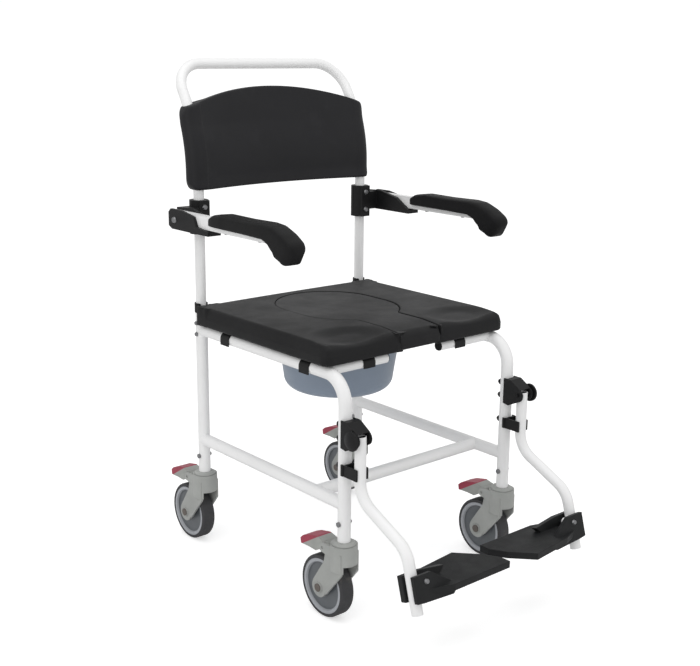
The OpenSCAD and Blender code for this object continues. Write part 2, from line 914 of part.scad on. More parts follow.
module footplate(s) {
  t = 13;
  cut = s < 0 ? 1 : -1;
  cheek_top = 14;
  color(black)
    at_side(s)
      difference() {
        union() {
          translate([0, 0, footplate_z - t])
            linear_extrude(height = t)
              footplate_plan(cut);
          at_hinge()
            for (f = [-1, 1])
              translate([0, f * (fork_gap + (f > 0 ? 6 : 4.5)), 0])
                rotate([90, 0, 0])
                  linear_extrude(height = f > 0 ? 12 : 9, center = true)
                    polygon([[28, cheek_top], [28, -34], [12, -36], [-60, -24 + f * 16],
                      [-76, -10 + f * 16], [-14, cheek_top]]);
        }
        // Room for the lug and the tube between the cheeks.
        at_hinge()
          translate([-11, -fork_gap, -9])
            cube([60, 2 * fork_gap, 60]);
        at_hinge()
          translate([4.4, -fork_gap, -60])
            cube([60, 2 * fork_gap, 80]);
        at_hinge()
          rotate([90, 0, 0])
            translate([0, 0, -60])
              cylinder(h = 120, r = plate_bolt_r + run_gap);
        // Recess for the nut, behind the rear cheek.
        at_hinge()
          translate([0, fork_gap + 12, 0])
            rotate([-90, 0, 0])
              cylinder(h = 20, r = plate_nut_r + run_gap);
      }
}

module footplate_bolt(s) {
  color(steel)
    at_side(s)
      at_hinge()
        translate([0, -fork_gap - 9, 0])
          rotate([-90, 0, 0])
            bolt(2 * fork_gap + 21, r = plate_bolt_r, head = 5.5, nut = plate_nut_r);
}

// ---------- casters ----------

wheel_r = wheel_d / 2;
stem_bolt_z = 206;
stem_top_z = 232;
flange_z = leg_foot_z - 5;
fork_top_z = flange_z - rest_gap;
kingpin_r = 7;
kingpin_z = 136;
race_r = 19;
fork_r = 26.5;
fork_in = 17.5;
fork_out = 22.5;
axle_r = 5;
rim_r = 57;

module at_legs() {
  for (x = [-leg_x, leg_x])
    for (y = [-leg_y, leg_y])
      translate([x, y, 0]) children();
}

module caster_stems() {
  color([0.62, 0.63, 0.63])
    at_legs()
      difference() {
        union() {
          translate([0, 0, leg_foot_z - eps])
            cylinder(h = stem_top_z - leg_foot_z, r = bore_r - run_gap);
          translate([0, 0, flange_z])
            cylinder(h = leg_foot_z - flange_z, r1 = 24, r2 = 18);
          translate([0, 0, kingpin_z])
            cylinder(h = flange_z - kingpin_z, r = kingpin_r);
        }
        bar([-30, 0, stem_bolt_z], [30, 0, stem_bolt_z], bolt_hole_r);
      }
}

module caster_stem_bolts() {
  color(steel)
    at_legs()
      translate([tube_r, 0, stem_bolt_z])
        rotate([0, -90, 0])
          bolt(tube_d, head = 5, nut = 5);
}

module swivel_bearings() {
  color([0.45, 0.46, 0.47])
    at_legs()
      translate([0, 0, flange_z - 5])
        difference() {
          cylinder(h = 5 - eps, r = race_r);
          translate([0, 0, -1]) cylinder(h = 7, r = kingpin_r + eps);
        }
}

// Moves children from a caster's own frame to the leg at (sx, sy).
module at_leg(sx, sy) {
  translate([sx * leg_x, sy * leg_y, 0]) children();
}

brake_y = 36;
brake_z = 150;
brake_ear_in = 19.6;

module caster_fork(sx, sy) {
  ear_t = 4.5;
  color([0.64, 0.64, 0.63])
    at_leg(sx, sy)
      difference() {
        union() {
          translate([0, 0, 112])
            cylinder(h = fork_top_z - 112, r = fork_r);
          // Side plates from the swivel head down to the axle.
          for (s = [-1, 1])
            along_x(s > 0 ? fork_in : -fork_out, s > 0 ? fork_out : -fork_in)
              union() {
                polygon([[-17, 150], [-17, 108], [26, 55], [trail + 17, 74], [33, 122], [27, 150]]);
                translate([trail, wheel_r]) circle(20);
              }
          for (s = [-1, 1])
            translate([s * fork_out, trail, wheel_r])
              rotate([0, s * 90, 0])
                cylinder(h = 2, r = 11);
          // Ears for the brake pedal.
          for (s = [-1, 1])
            along_x(s * brake_ear_in - (s > 0 ? 0 : ear_t), s * brake_ear_in + (s > 0 ? ear_t : 0))
              union() {
                polygon([[10, 161], [10, 136], [brake_y, 141], [brake_y, 159]]);
                translate([brake_y, brake_z]) circle(9);
              }
        }
        // Wheel well, open at the front.
        along_x(-fork_in, fork_in)
          union() {
            translate([trail, wheel_r]) circle(wheel_r + 4);
            translate([-40, 60]) square([60, 66]);
          }
        translate([0, 0, 100]) cylinder(h = 100, r = kingpin_r + run_gap);
        translate([0, 0, flange_z - 5.5]) cylinder(h = 10, r = race_r + rest_gap);
        bar([-40, trail, wheel_r], [40, trail, wheel_r], axle_r + eps);
        bar([-40, brake_y, brake_z], [40, brake_y, brake_z], bolt_r + run_gap);
        // Room for the pedal's hub.
        along_x(-brake_ear_in, brake_ear_in)
          translate([brake_y, brake_z]) circle(10.5);
      }
}

module caster_tyre(sx, sy) {
  edge = 5;
  half = tyre_w / 2;
  color([0.25, 0.25, 0.26])
    at_leg(sx, sy)
      translate([0, trail, wheel_r])
        rotate([0, 90, 0])
          rotate_extrude($fn = 96)
            difference() {
              union() {
                translate([rim_r - 1.5, -half]) square([wheel_r - rim_r + 1.5 - edge, 2 * half]);
                translate([rim_r - 1.5, -half + edge]) square([wheel_r - rim_r + 1.5, 2 * (half - edge)]);
                for (s = [-1, 1]) translate([wheel_r - edge, s * (half - edge)]) circle(edge);
              }
              translate([0, -half - 1]) square([rim_r - 1.5 + eps, tyre_w + 2]);
            }
}

// Rim ring, recessed disc and hub with the axle bore.
module caster_wheel(sx, sy) {
  half = tyre_w / 2;
  color([0.58, 0.58, 0.6])
    at_leg(sx, sy)
      translate([0, trail, wheel_r])
        rotate([0, 90, 0])
          rotate_extrude($fn = 96)
            polygon([[axle_r + run_gap, -16.5], [15, -16.5], [17, -9], [46, -9], [49, -half + 1],
              [rim_r - 2, -half + 1], [rim_r - 1.5, -half + 1.5], [rim_r - 1.5, half - 1.5],
              [rim_r - 2, half - 1], [49, half - 1], [46, 9], [17, 9], [15, 16.5],
              [axle_r + run_gap, 16.5]]);
}

module caster_axle(sx, sy) {
  reach = fork_out + 2;
  color(steel)
    at_leg(sx, sy)
      translate([-reach - 2, trail, wheel_r])
        rotate([0, 90, 0]) {
          cylinder(h = 2 * reach + 4, r = axle_r);
          cylinder(h = 2, r = 8);
          translate([0, 0, 2 * reach + 2]) cylinder(h = 2, r = 8);
        }
}

// Foot pedal that presses the tyre, hinged between the fork's ears.
module caster_brake(sx, sy) {
  half = 17;
  color([0.56, 0.27, 0.32])
    at_leg(sx, sy) {
      along_x(-half, half) {
        polygon([[40, 158.5], [60, 163], [88, 157], [104, 150], [112, 143], [110, 132],
          [84, 133], [64, 132], [44, 144]]);
        translate([brake_y, brake_z]) circle(9);
      }
      bar([-brake_ear_in - 3, brake_y, brake_z], [brake_ear_in + 3, brake_y, brake_z], bolt_r);
    }
}

// ---------- nodes ----------

placed() side_frame(-1);  // side_frame_left
placed() side_frame(1);  // side_frame_right
placed() lower_crossbar();
placed() rear_crossbar();
placed() front_stubs();
placed() stub_end_caps();
placed() backrest_frame();
placed() rear_post_clips();
placed() backrest_panel();
placed() backrest_bolts();
placed() armrest_brackets();
placed() armrest_bracket_bolts();
placed() footrest_brackets();
placed() footrest_saddles();
placed() footrest_bracket_bolts();
placed() caster_stems();
placed() caster_stem_bolts();
placed() swivel_bearings();
placed() seat_pad();
placed() seat_clips();
placed() pan_rails();
placed() pan_rail_screws();
placed() seat_cover();
placed() commode_pan();
placed() armrest_tube(-1);  // armrest_tube_left
placed() armrest_pad(-1);  // armrest_pad_left
placed() armrest_pivot(-1);  // armrest_pivot_left
placed() armrest_screws(-1);  // armrest_screws_left
placed() armrest_tube(1);  // armrest_tube_right
placed() armrest_pad(1);  // armrest_pad_right
placed() armrest_pivot(1);  // armrest_pivot_right
placed() armrest_screws(1);  // armrest_screws_right
placed() footrest_hanger(-1);  // footrest_hanger_left
placed() footrest_knob(-1);  // footrest_knob_left
placed() footplate(-1);  // footplate_left
placed() footplate_bolt(-1);  // footplate_bolt_left
placed() footrest_hanger(1);  // footrest_hanger_right
placed() footrest_knob(1);  // footrest_knob_right
placed() footplate(1);  // footplate_right
placed() footplate_bolt(1);  // footplate_bolt_right
placed() caster_fork(-1, -1);  // caster_fork_fl
placed() caster_tyre(-1, -1);  // caster_tyre_fl
placed() caster_wheel(-1, -1);  // caster_wheel_fl
placed() caster_axle(-1, -1);  // caster_axle_fl
placed() caster_brake(-1, -1);  // caster_brake_fl
placed() caster_fork(1, -1);  // caster_fork_fr
placed() caster_tyre(1, -1);  // caster_tyre_fr
placed() caster_wheel(1, -1);  // caster_wheel_fr
placed() caster_axle(1, -1);  // caster_axle_fr
placed() caster_brake(1, -1);  // caster_brake_fr
placed() caster_fork(-1, 1);  // caster_fork_rl
placed() caster_tyre(-1, 1);  // caster_tyre_rl
placed() caster_wheel(-1, 1);  // caster_wheel_rl
placed() caster_axle(-1, 1);  // caster_axle_rl
placed() caster_brake(-1, 1);  // caster_brake_rl
placed() caster_fork(1, 1);  // caster_fork_rr
placed() caster_tyre(1, 1);  // caster_tyre_rr
placed() caster_wheel(1, 1);  // caster_wheel_rr
placed() caster_axle(1, 1);  // caster_axle_rr
placed() caster_brake(1, 1);  // caster_brake_rr
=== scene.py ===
"""Looks of the wheeled commode chair: soft parts, materials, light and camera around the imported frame."""
import math

import bpy
import bmesh
import numpy as np
from mathutils import Matrix, Vector
from mathutils.geometry import delaunay_2d_cdt


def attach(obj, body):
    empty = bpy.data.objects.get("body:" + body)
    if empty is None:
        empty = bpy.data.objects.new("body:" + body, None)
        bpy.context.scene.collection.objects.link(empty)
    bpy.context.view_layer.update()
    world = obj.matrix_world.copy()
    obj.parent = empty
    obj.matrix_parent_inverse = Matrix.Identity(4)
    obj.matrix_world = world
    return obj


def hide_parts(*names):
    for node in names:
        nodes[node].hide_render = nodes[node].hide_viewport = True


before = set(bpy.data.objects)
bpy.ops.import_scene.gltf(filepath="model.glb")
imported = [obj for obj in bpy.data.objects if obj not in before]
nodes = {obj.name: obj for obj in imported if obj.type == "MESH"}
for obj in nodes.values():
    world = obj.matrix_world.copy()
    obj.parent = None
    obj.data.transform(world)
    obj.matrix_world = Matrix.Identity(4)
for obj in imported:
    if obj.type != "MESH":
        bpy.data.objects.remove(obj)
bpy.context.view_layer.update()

SHIFT = 0.0625  # the legs' own middle lies this far behind the origin
LEG_X = 0.220
LEG_Y = 0.237
CORNERS = {"fl": (-1, -1), "fr": (1, -1), "rl": (-1, 1), "rr": (1, 1)}
CASTER_TRAIL = 0.048
WHEEL_R = 0.0625
PEDAL_TIP = 0.112  # behind the leg
PEDAL_RED_Z = 0.1285  # lower edge of the red cap at the tip
PEDAL_RED_SLOPE = 0.62
ARM_X = 0.270


# ---------- materials ----------

class Mat:
    """A node material: Principled shader, object coordinates and rounded edges."""

    def __init__(self, name, colour, rough, metallic=0.0, spec=0.5):
        self.mat = bpy.data.materials.new(name)
        self.mat.use_nodes = True
        self.t = self.mat.node_tree
        self.p = self.t.nodes["Principled BSDF"]
        self.p.inputs["Roughness"].default_value = rough
        self.p.inputs["Metallic"].default_value = metallic
        self.p.inputs["Specular IOR Level"].default_value = spec
        self.coords = self.node("ShaderNodeTexCoord").outputs["Object"]
        rgb = self.node("ShaderNodeRGB")
        rgb.outputs[0].default_value = (*colour, 1)
        self.colour = rgb.outputs[0]
        rv = self.node("ShaderNodeValue")
        rv.outputs[0].default_value = rough
        self.rough = rv.outputs[0]
        self.normal = None

    def node(self, kind, **attrs):
        n = self.t.nodes.new(kind)
        for k, v in attrs.items():
            setattr(n, k, v)
        return n

    def link(self, a, b):
        self.t.links.new(a, b)

    def noise(self, scale, detail=3.0, rough=0.5, stretch=None):
        n = self.node("ShaderNodeTexNoise")
        n.inputs["Scale"].default_value = scale
        n.inputs["Detail"].default_value = detail
        n.inputs["Roughness"].default_value = rough
        source = self.coords
        if stretch:
            m = self.node("ShaderNodeMapping")
            m.inputs["Scale"].default_value = stretch
            self.link(source, m.inputs["Vector"])
            source = m.outputs[0]
        self.link(source, n.inputs["Vector"])
        return n.outputs["Fac"]

    def voronoi(self, scale):
        n = self.node("ShaderNodeTexVoronoi")
        n.inputs["Scale"].default_value = scale
        self.link(self.coords, n.inputs["Vector"])
        return n.outputs["Distance"]

    def ramp(self, value, lo, hi, a=0.0, b=1.0):
        n = self.node("ShaderNodeMapRange")
        n.interpolation_type = "SMOOTHSTEP"
        n.inputs["From Min"].default_value = lo
        n.inputs["From Max"].default_value = hi
        n.inputs["To Min"].default_value = a
        n.inputs["To Max"].default_value = b
        self.link(value, n.inputs["Value"])
        return n.outputs[0]

    def math(self, op, a, b=None):
        n = self.node("ShaderNodeMath", operation=op)
        for i, v in enumerate((a, b)):
            if v is None:
                continue
            if isinstance(v, (int, float)):
                n.inputs[i].default_value = v
            else:
                self.link(v, n.inputs[i])
        return n.outputs[0]

    def mix(self, fac, a, b):
        n = self.node("ShaderNodeMix", data_type="RGBA")
        for i, v in ((0, fac), (6, a), (7, b)):
            if isinstance(v, (int, float)):
                n.inputs[i].default_value = v
            elif isinstance(v, tuple):
                n.inputs[i].default_value = (*v, 1)
            else:
                self.link(v, n.inputs[i])
        return n.outputs[2]

    def tint(self, fac, colour):
        """Blends the colour so far towards another one."""
        self.colour = self.mix(fac, self.colour, colour)

    def vary(self, amount, scale, rough_amount):
        """Slow colour and sheen drift across the surface."""
        n = self.noise(scale, 4.0, 0.6)
        gain = self.ramp(n, 0.25, 0.75, 1 - amount, 1 + amount)
        hsv = self.node("ShaderNodeHueSaturation")
        self.link(gain, hsv.inputs["Value"])
        self.link(self.colour, hsv.inputs["Color"])
        self.colour = hsv.outputs[0]
        n2 = self.noise(scale * 2.7, 5.0, 0.65)
        drift = self.ramp(n2, 0.2, 0.8, -rough_amount, rough_amount)
        self.rough = self.math("ADD", self.rough, drift)

    def bump(self, height, strength, distance):
        n = self.node("ShaderNodeBump")
        n.inputs["Strength"].default_value = strength
        n.inputs["Distance"].default_value = distance
        self.link(height, n.inputs["Height"])
        if self.normal:
            self.link(self.normal, n.inputs["Normal"])
        self.normal = n.outputs[0]

    def soft_edges(self, radius):
        n = self.node("ShaderNodeBevel", samples=6)
        n.inputs["Radius"].default_value = radius
        if self.normal:
            self.link(self.normal, n.inputs["Normal"])
        self.normal = n.outputs[0]

    def edge_wear(self, radius, colour, amount):
        """Lighter rub marks where the surface turns a corner."""
        b = self.node("ShaderNodeBevel", samples=4)
        b.inputs["Radius"].default_value = radius
        g = self.node("ShaderNodeNewGeometry")
        dot = self.node("ShaderNodeVectorMath", operation="DOT_PRODUCT")
        self.link(b.outputs[0], dot.inputs[0])
        self.link(g.outputs["Normal"], dot.inputs[1])
        edge = self.ramp(dot.outputs["Value"], 0.97, 0.75, 0.0, 1.0)
        patchy = self.ramp(self.noise(90, 4.0, 0.7), 0.42, 0.62)
        self.tint(self.math("MULTIPLY", self.math("MULTIPLY", edge, patchy), amount), colour)

    def done(self):
        self.link(self.colour, self.p.inputs["Base Color"])
        self.link(self.rough, self.p.inputs["Roughness"])
        if self.normal:
            self.link(self.normal, self.p.inputs["Normal"])
        return self.mat


def srgb(*v):
    return tuple(((c / 255 + 0.055) / 1.055) ** 2.4 if c > 10 else c / 255 / 12.92 for c in v)


def powder_coat():
    m = Mat("powder_coat", srgb(247, 247, 247), 0.36)
    m.vary(0.025, 5.0, 0.05)
    m.soft_edges(0.0006)
    m.bump(m.noise(620, 2.0, 0.5), 0.22, 0.00025)
    m.bump(m.noise(60, 2.0, 0.5), 0.12, 0.0004)
    # Faint scuffs, a little darker and duller than the coat.
    scuff = m.ramp(m.noise(24, 6.0, 0.75, (1, 1, 3.5)), 0.66, 0.78)
    m.tint(m.math("MULTIPLY", scuff, 0.16), srgb(168, 168, 164))
    m.p.inputs["Coat Weight"].default_value = 0.25
    m.p.inputs["Coat Roughness"].default_value = 0.22
    return m.done()


def seat_skin(name, colour, rough, grain=0.5):
    m = Mat(name, colour, rough, spec=0.14)
    m.vary(0.10, 5.0, 0.07)
    cells = m.voronoi(1050)
    m.bump(m.ramp(cells, 0.0, 0.75), 0.32 * grain, 0.00035)
    m.bump(m.noise(1700, 2.0), 0.25 * grain, 0.0002)
    m.bump(m.noise(38, 3.0, 0.55), 0.10, 0.0012)
    worn = m.ramp(m.noise(13, 5.0, 0.7), 0.52, 0.72)
    m.tint(m.math("MULTIPLY", worn, 0.22), tuple(min(1, c * 1.55 + 0.004) for c in colour))
    m.p.inputs["Sheen Weight"].default_value = 0.02
    m.p.inputs["Sheen Roughness"].default_value = 0.5
    return m.done()


def moulded(name, colour, rough, grain=1.0, wear=0.3, edge=0.0012):
    m = Mat(name, colour, rough, spec=0.22)
    m.vary(0.08, 11.0, 0.07)
    m.soft_edges(edge)
    m.bump(m.noise(900, 3.0, 0.6), 0.28 * grain, 0.0003)
    m.bump(m.voronoi(420), 0.10 * grain, 0.0003)
    m.edge_wear(0.0016, tuple(min(1, c * 1.9 + 0.012) for c in colour), wear)
    return m.done()


def zinc(name, colour):
    m = Mat(name, colour, 0.38, metallic=1.0)
    m.vary(0.10, 60.0, 0.10)
    m.soft_edges(0.0007)
    m.bump(m.noise(500, 2.0, 0.5, (1, 1, 5)), 0.12, 0.0002)
    return m.done()


def pan_plastic():
    m = Mat("pan_plastic", srgb(138, 150, 166), 0.40, spec=0.4)
    m.vary(0.05, 9.0, 0.05)
    m.soft_edges(0.0012)
    m.bump(m.noise(850, 2.0), 0.10, 0.00022)
    # Fine turning lines of the mould.
    m.bump(m.noise(5, 6.0, 0.75, (1, 1, 60)), 0.07, 0.0004)
    m.p.inputs["Subsurface Weight"].default_value = 0.06
    m.p.inputs["Subsurface Radius"].default_value = (0.004, 0.005, 0.006)
    return m.done()


def wheel_distance(m, corner):
    """Distance from the caster's axle, for colouring the wheel in rings."""
    sx, sy = CORNERS[corner]
    sub = m.node("ShaderNodeVectorMath", operation="SUBTRACT")
    m.link(m.coords, sub.inputs[0])
    sub.inputs[1].default_value = (sx * LEG_X, sy * LEG_Y + CASTER_TRAIL + SHIFT, WHEEL_R)
    flat = m.node("ShaderNodeVectorMath", operation="MULTIPLY")
    m.link(sub.outputs[0], flat.inputs[0])
    flat.inputs[1].default_value = (0, 1, 1)
    length = m.node("ShaderNodeVectorMath", operation="LENGTH")
    m.link(flat.outputs[0], length.inputs[0])
    return length.outputs["Value"]


def wheel_plastic(corner):
    m = Mat("wheel_plastic_" + corner, srgb(170, 173, 178), 0.42)
    inner = m.ramp(wheel_distance(m, corner), 0.0475, 0.0465)
    m.tint(inner, srgb(100, 104, 108))
    hub = m.ramp(wheel_distance(m, corner), 0.0165, 0.0155)
    m.tint(hub, srgb(120, 122, 124))
    m.vary(0.05, 30.0, 0.05)
    m.soft_edges(0.0010)
    m.bump(m.noise(700, 3.0), 0.15, 0.0003)
    return m.done()


def tyre_rubber(corner):
    m = Mat("tyre_rubber_" + corner, srgb(62, 62, 64), 0.62, spec=0.35)
    m.vary(0.10, 18.0, 0.08)
    dust = m.ramp(m.noise(35, 5.0, 0.7), 0.5, 0.75)
    tread = m.ramp(wheel_distance(m, corner), 0.0600, 0.0622)
    m.tint(m.math("MULTIPLY", m.math("MULTIPLY", dust, tread), 0.35), srgb(112, 108, 102))
    m.bump(m.noise(800, 3.0, 0.65), 0.3, 0.0004)
    return m.done()


def pedal_plastic(corner):
    """Red cap over the pedal's upper outer half, grey lever below it."""
    m = Mat("pedal_plastic_" + corner, srgb(160, 162, 158), 0.45)
    sep = m.node("ShaderNodeSeparateXYZ")
    m.link(m.coords, sep.inputs[0])
    y = m.math("SUBTRACT", sep.outputs["Y"], CORNERS[corner][1] * LEG_Y + SHIFT)
    # The parting line climbs from the tip towards the hinge.
    rise = m.math("MULTIPLY", m.math("SUBTRACT", PEDAL_TIP, y), PEDAL_RED_SLOPE)
    above = m.math("SUBTRACT", sep.outputs["Z"], m.math("ADD", rise, PEDAL_RED_Z))
    red = m.ramp(above, -0.0003, 0.0003)
    m.tint(red, srgb(158, 50, 72))
    m.vary(0.08, 40.0, 0.06)
    m.soft_edges(0.0020)
    m.bump(m.noise(900, 3.0), 0.15, 0.0003)
    m.edge_wear(0.002, srgb(190, 150, 152), 0.25)
    return m.done()


MATS = {
    "white": powder_coat(),
    "seat": seat_skin("seat_vinyl", srgb(30, 30, 31), 0.50),
    "cover": seat_skin("cover_vinyl", srgb(33, 33, 34), 0.48),
    "back": seat_skin("back_panel_skin", srgb(38, 38, 40), 0.46, 0.35),
    "arm": seat_skin("arm_foam_skin", srgb(22, 22, 23), 0.55, 0.6),
    "nylon": moulded("black_nylon", srgb(24, 24, 25), 0.45),
    "plate": moulded("footplate_plastic", srgb(29, 30, 31), 0.50, 1.5, 0.35, 0.0022),
    "housing": moulded("caster_housing", srgb(169, 171, 168), 0.48, 0.7, 0.15, 0.0020),
    "pan": pan_plastic(),
    "zinc": zinc("zinc_steel", (0.26, 0.262, 0.27)),
    "axle": moulded("axle_cap", srgb(106, 99, 94), 0.5, 0.5, 0.1, 0.0008),
    "race": zinc("bearing_steel", (0.33, 0.335, 0.34)),
}


def material_for(name):
    corner = name[-2:]
    if name.startswith("caster_wheel"):
        return wheel_plastic(corner)
    if name.startswith("caster_tyre"):
        return tyre_rubber(corner)
    if name.startswith("caster_brake"):
        return pedal_plastic(corner)
    if name.startswith("caster_axle"):
        return MATS["axle"]
    if name.startswith("caster_fork") or name == "caster_stems":
        return MATS["housing"]
    if name.startswith(("side_frame", "armrest_tube", "footrest_hanger")) or name in (
            "lower_crossbar", "rear_crossbar", "front_stubs", "backrest_frame", "pan_rails"):
        return MATS["white"]
    if name.startswith("footplate_") and not name.startswith("footplate_bolt"):
        return MATS["plate"]
    if name.startswith("footrest_knob") or name in (
            "stub_end_caps", "rear_post_clips", "armrest_brackets", "footrest_brackets",
            "footrest_saddles", "footrest_bracket_bolts", "seat_clips"):
        return MATS["nylon"]
    if name == "commode_pan":
        return MATS["pan"]
    if name == "swivel_bearings":
        return MATS["race"]
    return MATS["zinc"]


for name, o in nodes.items():
    o.data.materials.clear()
    o.data.materials.append(material_for(name))


# ---------- mesh helpers ----------

def make(name, verts, faces, material):
    me = bpy.data.meshes.new(name)
    me.from_pydata([tuple(v) for v in verts], [], faces)
    me.validate()
    bm = bmesh.new()
    bm.from_mesh(me)
    bmesh.ops.remove_doubles(bm, verts=bm.verts, dist=1e-6)
    bmesh.ops.recalc_face_normals(bm, faces=bm.faces)
    bm.to_mesh(me)
    bm.free()
    me.materials.append(material)
    for p in me.polygons:
        p.use_smooth = True
    o = bpy.data.objects.new(name, me)
    bpy.context.scene.collection.objects.link(o)
    return o


def register(o, body, cad_node):
    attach(o, body)
    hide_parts(cad_node)


def coords_of(o):
    c = np.empty(len(o.data.vertices) * 3)
    o.data.vertices.foreach_get("co", c)
    return c.reshape(-1, 3)


def set_coords(o, c):
    o.data.vertices.foreach_set("co", np.asarray(c, float).ravel())
    o.data.update()


CLOTH_FRAMES = 20


def puff(o, hold, cap, pressure):
    """Swells a padded piece with Blender's cloth, by at most cap.

    hold(co) is 1 where the skin is fixed and 0 where it is free."""
    before = coords_of(o)
    g = o.vertex_groups.new(name="hold")
    for i, co in enumerate(before):
        g.add([i], float(hold(co)), "REPLACE")
    mod = o.modifiers.new("Cloth", "CLOTH")
    s = mod.settings
    s.quality = 6
    s.mass = 0.3
    s.tension_stiffness = 25
    s.compression_stiffness = 25
    s.shear_stiffness = 12
    s.bending_stiffness = 2.0
    s.use_pressure = True
    s.uniform_pressure_force = pressure
    s.vertex_group_mass = "hold"
    s.pin_stiffness = 1.0
    s.effector_weights.gravity = 0
    mod.collision_settings.use_collision = False
    mod.point_cache.frame_start = 1
    mod.point_cache.frame_end = CLOTH_FRAMES
    scene = bpy.context.scene
    for f in range(1, CLOTH_FRAMES + 1):
        scene.frame_set(f)
    ev = o.evaluated_get(bpy.context.evaluated_depsgraph_get())
    me = ev.to_mesh()
    after = np.empty(len(me.vertices) * 3)
    me.vertices.foreach_get("co", after)
    after = after.reshape(-1, 3)
    ev.to_mesh_clear()
    o.modifiers.remove(mod)
    o.vertex_groups.remove(g)
    scene.frame_set(1)
    move = after - before
    size = np.linalg.norm(move, axis=1, keepdims=True)
    move *= np.minimum(1.0, cap / np.maximum(size, 1e-9))
    move[~np.isfinite(move)] = 0
    set_coords(o, before + move)


def subdivide(o):
    """Applies one level of subdivision."""
    m = o.modifiers.new("Subdivision", "SUBSURF")
    m.levels = 1
    m.render_levels = 1
    dg = bpy.context.evaluated_depsgraph_get()
    me = bpy.data.meshes.new_from_object(o.evaluated_get(dg), depsgraph=dg)
    o.modifiers.remove(m)
    old = o.data
    o.data = me
    bpy.data.meshes.remove(old)


def arc(cx, cy, r, a0, a1, step=0.004):
    n = max(3, int(abs(math.radians(a1 - a0)) * r / step) + 1)
    return [(cx + r * math.cos(math.radians(a0 + (a1 - a0) * i / n)),
             cy + r * math.sin(math.radians(a0 + (a1 - a0) * i / n))) for i in range(n + 1)]


def resample(path, step):
    """Points at even spacing along an open path."""
    pts = [Vector(p) for p in path]
    total = sum((b - a).length for a, b in zip(pts, pts[1:]))
    n = max(2, round(total / step))
    out, i, walked = [pts[0]], 0, 0.0
    for k in range(1, n):
        want = total * k / n
        while walked + (pts[i + 1] - pts[i]).length < want:
            walked += (pts[i + 1] - pts[i]).length
            i += 1
        seg = (pts[i + 1] - pts[i]).length
        out.append(pts[i].lerp(pts[i + 1], (want - walked) / seg))
    out.append(pts[-1])
    return [tuple(p) for p in out]


def smoothstep(x, a, b):
    t = min(1.0, max(0.0, (x - a) / (b - a)))
    return t * t * (3 - 2 * t)


def slab(loop, profile_of, z_of, spacing):
    """Closed padded plate over a plan loop.

    loop: list of (x, y, tag), anticlockwise.
    profile_of(tag): list of (inset, z), from the bottom rim up to the top.
    z_of(x, y, z): final height of a point.
    The inside of both faces is filled with an even triangle grid."""
    n = len(loop)
    pts = np.array([(p[0], p[1]) for p in loop])
    nxt, prv = np.roll(pts, -1, 0), np.roll(pts, 1, 0)
    tangent = nxt - prv
    tangent /= np.linalg.norm(tangent, axis=1, keepdims=True)
    inward = np.stack([-tangent[:, 1], tangent[:, 0]], 1)
    profiles = [profile_of(p[2]) for p in loop]
    rings = len(profiles[0])
    verts, faces = [], []
    for k in range(rings):
        for i in range(n):
            inset, z = profiles[i][k]
            q = pts[i] + inward[i] * inset
            verts.append((q[0], q[1], z))
    for k in range(rings - 1):
        for i in range(n):
            j = (i + 1) % n
            faces.append((k * n + i, k * n + j, (k + 1) * n + j, (k + 1) * n + i))
    for k, flip in ((0, True), (rings - 1, False)):
        ring = [Vector(verts[k * n + i][:2]) for i in range(n)]
        grid = fill_points(ring, spacing)
        cdt = delaunay_2d_cdt(ring + grid, [(i, (i + 1) % n) for i in range(n)], [], 1, 1e-7)
        cv, cf, ov = cdt[0], cdt[2], cdt[3]
        index = {}
        zs = np.array([verts[k * n + i][2] for i in range(n)])
        ring_xy = np.array([tuple(r) for r in ring])
        for a, v in enumerate(cv):
            src = [s for s in ov[a] if s < n]
            if src:
                index[a] = k * n + src[0]
            else:
                w = 1.0 / (np.sum((ring_xy - np.array(v)) ** 2, axis=1) + 1e-7) ** 1.5
                index[a] = len(verts)
                verts.append((v[0], v[1], float(np.sum(w * zs) / np.sum(w))))
        for f in cf:
            f = [index[a] for a in f]
            faces.append(tuple(reversed(f)) if flip else tuple(f))
    return [(x, y + SHIFT, z_of(x, y, z)) for x, y, z in verts], faces


def fill_points(ring, spacing):
    """An even triangle grid inside a loop, kept clear of its edge."""
    xs = [p.x for p in ring]
    ys = [p.y for p in ring]
    poly = np.array([tuple(p) for p in ring])
    out = []
    row = 0
    y = min(ys) + spacing
    while y < max(ys):
        x = min(xs) + spacing * (0.5 if row % 2 else 1.0)
        while x < max(xs):
            clear = np.min(np.sum((poly - (x, y)) ** 2, axis=1)) > (0.72 * spacing) ** 2
            if clear and inside(poly, x, y):
                out.append(Vector((x, y)))
            x += spacing
        y += spacing * 0.866
        row += 1
    return out


def inside(poly, x, y):
    x0, y0 = poly[:, 0], poly[:, 1]
    x1, y1 = np.roll(x0, -1), np.roll(y0, -1)
    cross = ((y0 > y) != (y1 > y)) & (x < (x1 - x0) * (y - y0) / (y1 - y0 + 1e-15) + x0)
    return bool(np.count_nonzero(cross) % 2)


# ---------- seat pad and its keyhole cover ----------

SEAT_BOTTOM = 0.5035
SEAT_TOP = 0.5450
LEDGE_Z = 0.5205
FRONT_Y = -0.205
REAR_Y = 0.229
HALF_W = 0.240
NOTCH_R = 0.015


def keyhole_half():
    """Right half of the opening's outline, from the front edge to the rear of the oval."""
    return ([(0.056, FRONT_Y), (0.056, -0.0902)]
            + arc(0.081, -0.0902, 0.025, 180, 125.3)[1:]
            + arc(0.0, 0.024, 0.115, -54.7, 0)
            + arc(0.0, 0.080, 0.115, 0, 90))


def tagged(path, tag, step=0.005):
    return [(x, y, tag) for x, y in resample(path, step)]


